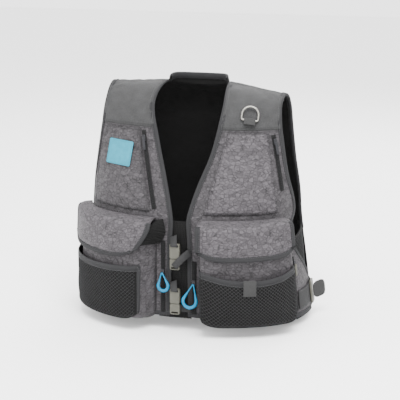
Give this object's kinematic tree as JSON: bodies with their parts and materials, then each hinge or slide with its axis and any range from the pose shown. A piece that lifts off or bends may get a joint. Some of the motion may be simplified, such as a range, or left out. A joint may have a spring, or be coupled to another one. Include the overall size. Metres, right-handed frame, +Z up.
{
  "type": "fishing vest",
  "caption": "Open-front fishing vest with shoulder yokes, flapped cargo pockets, mesh pockets, zips, D-ring, front buckles and side straps.",
  "frame": {"origin": "middle of the shoulder line, between the two shoulder tops, where the vest hangs on its wearer", "axes": "+Z up, the open front faces -Y, +X is the wearer's left"},
  "size_m": [0.5113, 0.3272, 0.4731],
  "materials": {
    "ripstop": "mauve-grey ripstop nylon with a fine brick grid",
    "yoke_cloth": "grey padded plain weave",
    "stretch_mesh": "near-black knitted mesh",
    "binding": "grey ribbed binding tape",
    "webbing": "grey woven webbing",
    "zip_tape": "dark zip tape with coil",
    "grey_plastic": "light olive-grey acetal",
    "dark_plastic": "dark grey zip sliders and pulls",
    "ring_metal": "nickel-plated wire",
    "cyan_cord": "bright cyan moulded loop pulls",
    "badge": "pale cyan plain badge"
  },
  "bodies": {
    "root": {"right_front_panel": "ripstop", "right_yoke": "yoke_cloth", "right_side_panel": "stretch_mesh", "left_front_panel": "ripstop", "left_yoke": "yoke_cloth", "left_side_panel": "stretch_mesh", "back_panel": "ripstop", "back_yoke": "yoke_cloth", "collar": "yoke_cloth", "front_placket": "stretch_mesh", "right_neck_binding": "binding", "right_armhole_binding": "binding", "left_neck_binding": "binding", "left_armhole_binding": "binding", "right_chest_pocket": "ripstop", "left_chest_pocket": "ripstop", "right_chest_zip": "zip_tape", "left_chest_zip": "zip_tape", "right_cargo_pocket": "ripstop", "right_mesh_pocket": "stretch_mesh", "left_cargo_pocket": "ripstop", "left_mesh_pocket": "stretch_mesh", "right_corner_gusset": "stretch_mesh", "right_front_zip": "zip_tape", "left_front_zip": "zip_tape", "left_side_zip": "zip_tape", "d_ring_keeper": "webbing", "chest_badge": "badge", "upper_buckle_socket": "grey_plastic", "upper_buckle_tab": "webbing", "upper_closure_strap": "webbing", "lower_buckle_socket": "grey_plastic", "lower_buckle_tab": "webbing", "lower_closure_strap": "webbing", "right_side_strap": "webbing", "left_side_strap": "webbing", "back_pocket": "ripstop", "hanging_loop": "webbing"},
    "right_flap": {"right_flap": "ripstop"},
    "left_flap": {"left_flap": "ripstop"},
    "d_ring": {"d_ring": "ring_metal"},
    "right_chest_slider": {"right_chest_slider": "dark_plastic"},
    "right_chest_pull": {"right_chest_pull": "dark_plastic"},
    "left_chest_slider": {"left_chest_slider": "dark_plastic"},
    "left_chest_pull": {"left_chest_pull": "dark_plastic"},
    "right_front_slider": {"right_front_slider": "dark_plastic"},
    "right_front_pull": {"right_front_pull": "cyan_cord"},
    "left_front_slider": {"left_front_slider": "dark_plastic"},
    "left_front_pull": {"left_front_pull": "cyan_cord"},
    "left_side_slider": {"left_side_slider": "dark_plastic"},
    "left_side_pull": {"left_side_pull": "grey_plastic"},
    "upper_buckle_plug": {"upper_buckle_plug": "grey_plastic"},
    "lower_buckle_plug": {"lower_buckle_plug": "grey_plastic"},
    "right_ladder_lock": {"right_ladder_lock": "grey_plastic", "right_strap_tail": "webbing"},
    "left_ladder_lock": {"left_ladder_lock": "grey_plastic", "left_strap_tail": "webbing"},
    "mesh_tab": {"mesh_tab": "binding"}
  },
  "joints": [
    {"name": "right_flap_open", "type": "hinge", "parent": "root", "child": "right_flap", "pos_m": [-0.11851, -0.13069, -0.25195], "axis": [-0.9439, 0.3301, 0], "range_deg": [0, 100]},
    {"name": "left_flap_open", "type": "hinge", "parent": "root", "child": "left_flap", "pos_m": [0.11851, -0.13072, -0.25194], "axis": [-0.9441, -0.3296, 0], "range_deg": [0, 100]},
    {"name": "d_ring_turn", "type": "hinge", "parent": "root", "child": "d_ring", "pos_m": [0.12521, -0.07999, -0.06278], "axis": [0.9716, 0.2071, -0.1144], "range_deg": [0, 150]},
    {"name": "right_chest_zip_slide", "type": "slide", "parent": "root", "child": "right_chest_slider", "axis": [-0.2178, 0.2989, 0.9291], "range_m": [-0.13358, 0.00862]},
    {"name": "right_chest_pull_lift", "type": "hinge", "parent": "right_chest_slider", "child": "right_chest_pull", "pos_m": [-0.08203, -0.10446, -0.10229], "axis": [-0.9666, 0.0659, -0.2478], "range_deg": [0, 100]},
    {"name": "left_chest_zip_slide", "type": "slide", "parent": "root", "child": "left_chest_slider", "axis": [-0.201, 0.0771, 0.9766], "range_m": [-0.09007, 0.00624]},
    {"name": "left_chest_pull_lift", "type": "hinge", "parent": "left_chest_slider", "child": "left_chest_pull", "pos_m": [0.1761, -0.07252, -0.10352], "axis": [-0.8019, -0.5855, -0.1188], "range_deg": [0, 100]},
    {"name": "right_front_zip_slide", "type": "slide", "parent": "root", "child": "right_front_slider", "axis": [0, 0.024, 0.9997], "range_m": [-0.0751, 0.05494]},
    {"name": "right_front_pull_lift", "type": "hinge", "parent": "right_front_slider", "child": "right_front_pull", "pos_m": [-0.03041, -0.15648, -0.35769], "axis": [-0.9941, 0.0394, -0.1008], "range_deg": [0, 100]},
    {"name": "left_front_zip_slide", "type": "slide", "parent": "root", "child": "left_front_slider", "axis": [0, 0.0245, 0.9997], "range_m": [-0.05661, 0.03541]},
    {"name": "left_front_pull_lift", "type": "hinge", "parent": "left_front_slider", "child": "left_front_pull", "pos_m": [0.03344, -0.15685, -0.37617], "axis": [-0.9791, -0.0378, 0.1996], "range_deg": [0, 100]},
    {"name": "left_side_zip_slide", "type": "slide", "parent": "root", "child": "left_side_slider", "axis": [-0.1111, 0.0104, 0.9938], "range_m": [-0.09041, 0.00628]},
    {"name": "left_side_pull_lift", "type": "hinge", "parent": "left_side_slider", "child": "left_side_pull", "pos_m": [0.21794, -0.06874, -0.34637], "axis": [-0.4637, -0.885, -0.0425], "range_deg": [0, 100]},
    {"name": "upper_buckle_release", "type": "slide", "parent": "root", "child": "upper_buckle_plug", "axis": [0, 0, -1], "range_m": [0, 0.022]},
    {"name": "lower_buckle_release", "type": "slide", "parent": "root", "child": "lower_buckle_plug", "axis": [0, 0, -1], "range_m": [0, 0.022]},
    {"name": "right_ladder_lock_tilt", "type": "hinge", "parent": "root", "child": "right_ladder_lock", "pos_m": [-0.2253, -0.00518, -0.42385], "axis": [0.0523, -0.0018, 0.9986], "range_deg": [0, 30]},
    {"name": "left_ladder_lock_tilt", "type": "hinge", "parent": "root", "child": "left_ladder_lock", "pos_m": [0.2369, -0.00518, -0.42366], "axis": [0.1181, 0.0044, -0.993], "range_deg": [0, 30]},
    {"name": "mesh_tab_lift", "type": "hinge", "parent": "root", "child": "mesh_tab", "pos_m": [0.15059, -0.17685, -0.35427], "axis": [-0.9379, -0.347, 0], "range_deg": [0, 70]}
  ]
}
